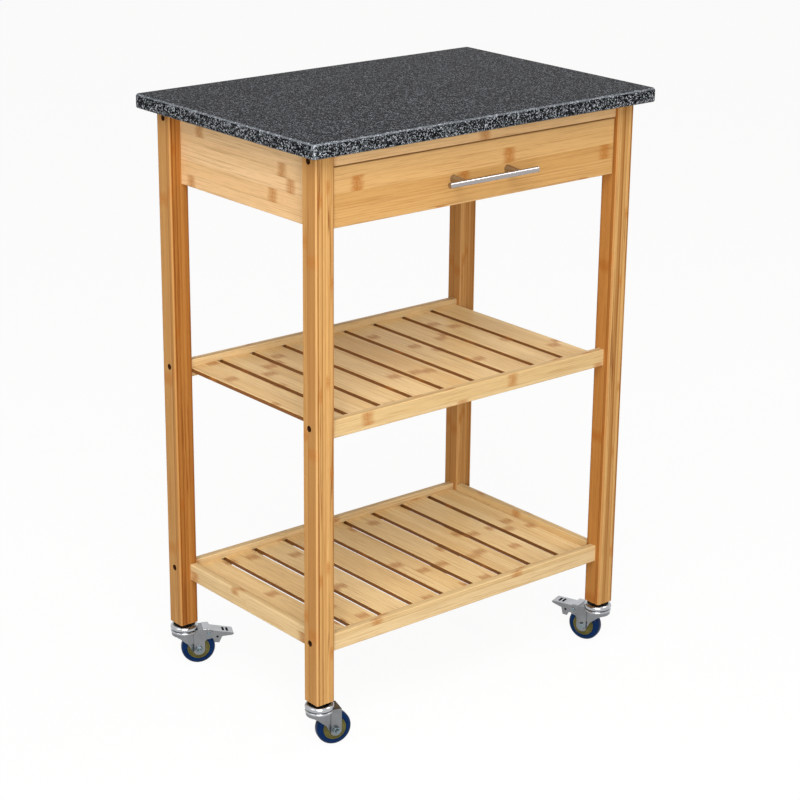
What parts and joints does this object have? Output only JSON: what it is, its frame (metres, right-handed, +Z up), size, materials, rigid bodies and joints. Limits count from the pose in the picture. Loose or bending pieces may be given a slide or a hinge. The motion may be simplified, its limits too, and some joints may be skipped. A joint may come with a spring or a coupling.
{
  "type": "kitchen cart",
  "caption": "Wheeled kitchen cart with a stone worktop, a bamboo frame, a shallow drawer and two open slatted shelves, on swivel casters, some with brakes.",
  "frame": {"origin": "On the floor, below the middle of the cart.", "axes": "+Z is up, along the legs. +X runs to the right along the long side of the worktop, for someone who faces the drawer. The drawer opens towards -Y."},
  "size_m": [0.6, 0.404, 0.85],
  "materials": {
    "granite": "polished",
    "bamboo": "satin",
    "satin_steel": "satin",
    "zinc_steel": "gloss",
    "brass_insert": "satin",
    "blue_tyre": "gloss",
    "olive_core": "satin",
    "black_plastic": "matte"
  },
  "bodies": {
    "cart_frame": {"back_apron": "bamboo", "bottom_shelf_back_rail": "bamboo", "bottom_shelf_front_rail": "bamboo", "bottom_shelf_left_rail": "bamboo", "bottom_shelf_right_rail": "bamboo", "bottom_shelf_slats": "bamboo", "caster_race_caps": "zinc_steel", "caster_stems": "zinc_steel", "drawer_guides": "bamboo", "drawer_stops": "bamboo", "frame_dowels": "bamboo", "frame_screws": "zinc_steel", "front_top_rail": "bamboo", "leg_back_left": "bamboo", "leg_back_right": "bamboo", "leg_front_left": "bamboo", "leg_front_right": "bamboo", "leg_inserts": "brass_insert", "middle_shelf_back_rail": "bamboo", "middle_shelf_front_rail": "bamboo", "middle_shelf_slats": "bamboo", "side_apron_left": "bamboo", "side_apron_right": "bamboo", "small_screws": "zinc_steel", "worktop": "granite", "worktop_brackets": "zinc_steel"},
    "drawer": {"drawer_back": "bamboo", "drawer_bottom": "bamboo", "drawer_front": "bamboo", "drawer_left_side": "bamboo", "drawer_right_side": "bamboo", "handle_bar": "satin_steel", "handle_posts": "satin_steel", "handle_screws": "zinc_steel"},
    "caster_front_left": {"caster_fork_front_left": "zinc_steel", "axle_bolt_front_left": "zinc_steel", "axle_nut_front_left": "zinc_steel"},
    "wheel_front_left": {"wheel_tyre_front_left": "blue_tyre", "wheel_hub_front_left": "olive_core"},
    "caster_front_right": {"caster_fork_front_right": "zinc_steel", "axle_bolt_front_right": "zinc_steel", "axle_nut_front_right": "zinc_steel", "pedal_rivet_front_right": "zinc_steel"},
    "wheel_front_right": {"wheel_tyre_front_right": "blue_tyre", "wheel_hub_front_right": "olive_core"},
    "pedal_front_right": {"brake_pedal_front_right": "zinc_steel", "brake_pad_front_right": "black_plastic"},
    "caster_back_left": {"caster_fork_back_left": "zinc_steel", "axle_bolt_back_left": "zinc_steel", "axle_nut_back_left": "zinc_steel", "pedal_rivet_back_left": "zinc_steel"},
    "wheel_back_left": {"wheel_tyre_back_left": "blue_tyre", "wheel_hub_back_left": "olive_core"},
    "pedal_back_left": {"brake_pedal_back_left": "zinc_steel", "brake_pad_back_left": "black_plastic"},
    "caster_back_right": {"caster_fork_back_right": "zinc_steel", "axle_bolt_back_right": "zinc_steel", "axle_nut_back_right": "zinc_steel"},
    "wheel_back_right": {"wheel_tyre_back_right": "blue_tyre", "wheel_hub_back_right": "olive_core"}
  },
  "joints": [
    {"name": "drawer_slide", "type": "slide", "parent": "cart_frame", "child": "drawer", "axis": [0, -1, 0], "range_m": [0, 0.2]},
    {"name": "caster_swivel_front_left", "type": "hinge", "parent": "cart_frame", "child": "caster_front_left", "pos_m": [-0.265, -0.163, 0.05], "axis": [0, 0, 1], "continuous": true},
    {"name": "wheel_spin_front_left", "type": "hinge", "parent": "caster_front_left", "child": "wheel_front_left", "pos_m": [-0.24635, -0.1687, 0.025], "axis": [0.2924, 0.9563, 0], "continuous": true},
    {"name": "caster_swivel_front_right", "type": "hinge", "parent": "cart_frame", "child": "caster_front_right", "pos_m": [0.265, -0.163, 0.05], "axis": [0, 0, 1], "continuous": true},
    {"name": "wheel_spin_front_right", "type": "hinge", "parent": "caster_front_right", "child": "wheel_front_right", "pos_m": [0.25833, -0.14468, 0.025], "axis": [-0.9397, -0.342, 0], "continuous": true},
    {"name": "brake_pedal_press_front_right", "type": "hinge", "parent": "caster_front_right", "child": "pedal_front_right", "pos_m": [0.2532, -0.13058, 0.049], "axis": [-0.9397, -0.342, 0], "range_deg": [0, 12]},
    {"name": "caster_swivel_back_left", "type": "hinge", "parent": "cart_frame", "child": "caster_back_left", "pos_m": [-0.265, 0.163, 0.05], "axis": [0, 0, 1], "continuous": true},
    {"name": "wheel_spin_back_left", "type": "hinge", "parent": "caster_back_left", "child": "wheel_back_left", "pos_m": [-0.24763, 0.15415, 0.025], "axis": [0.454, 0.891, 0], "continuous": true},
    {"name": "brake_pedal_press_back_left", "type": "hinge", "parent": "caster_back_left", "child": "pedal_back_left", "pos_m": [-0.23426, 0.14734, 0.049], "axis": [0.454, 0.891, 0], "range_deg": [-12, 0]},
    {"name": "caster_swivel_back_right", "type": "hinge", "parent": "cart_frame", "child": "caster_back_right", "pos_m": [0.265, 0.163, 0.05], "axis": [0, 0, 1], "continuous": true},
    {"name": "wheel_spin_back_right", "type": "hinge", "parent": "caster_back_right", "child": "wheel_back_right", "pos_m": [0.24811, 0.17275, 0.025], "axis": [-0.5, -0.866, 0], "continuous": true}
  ]
}
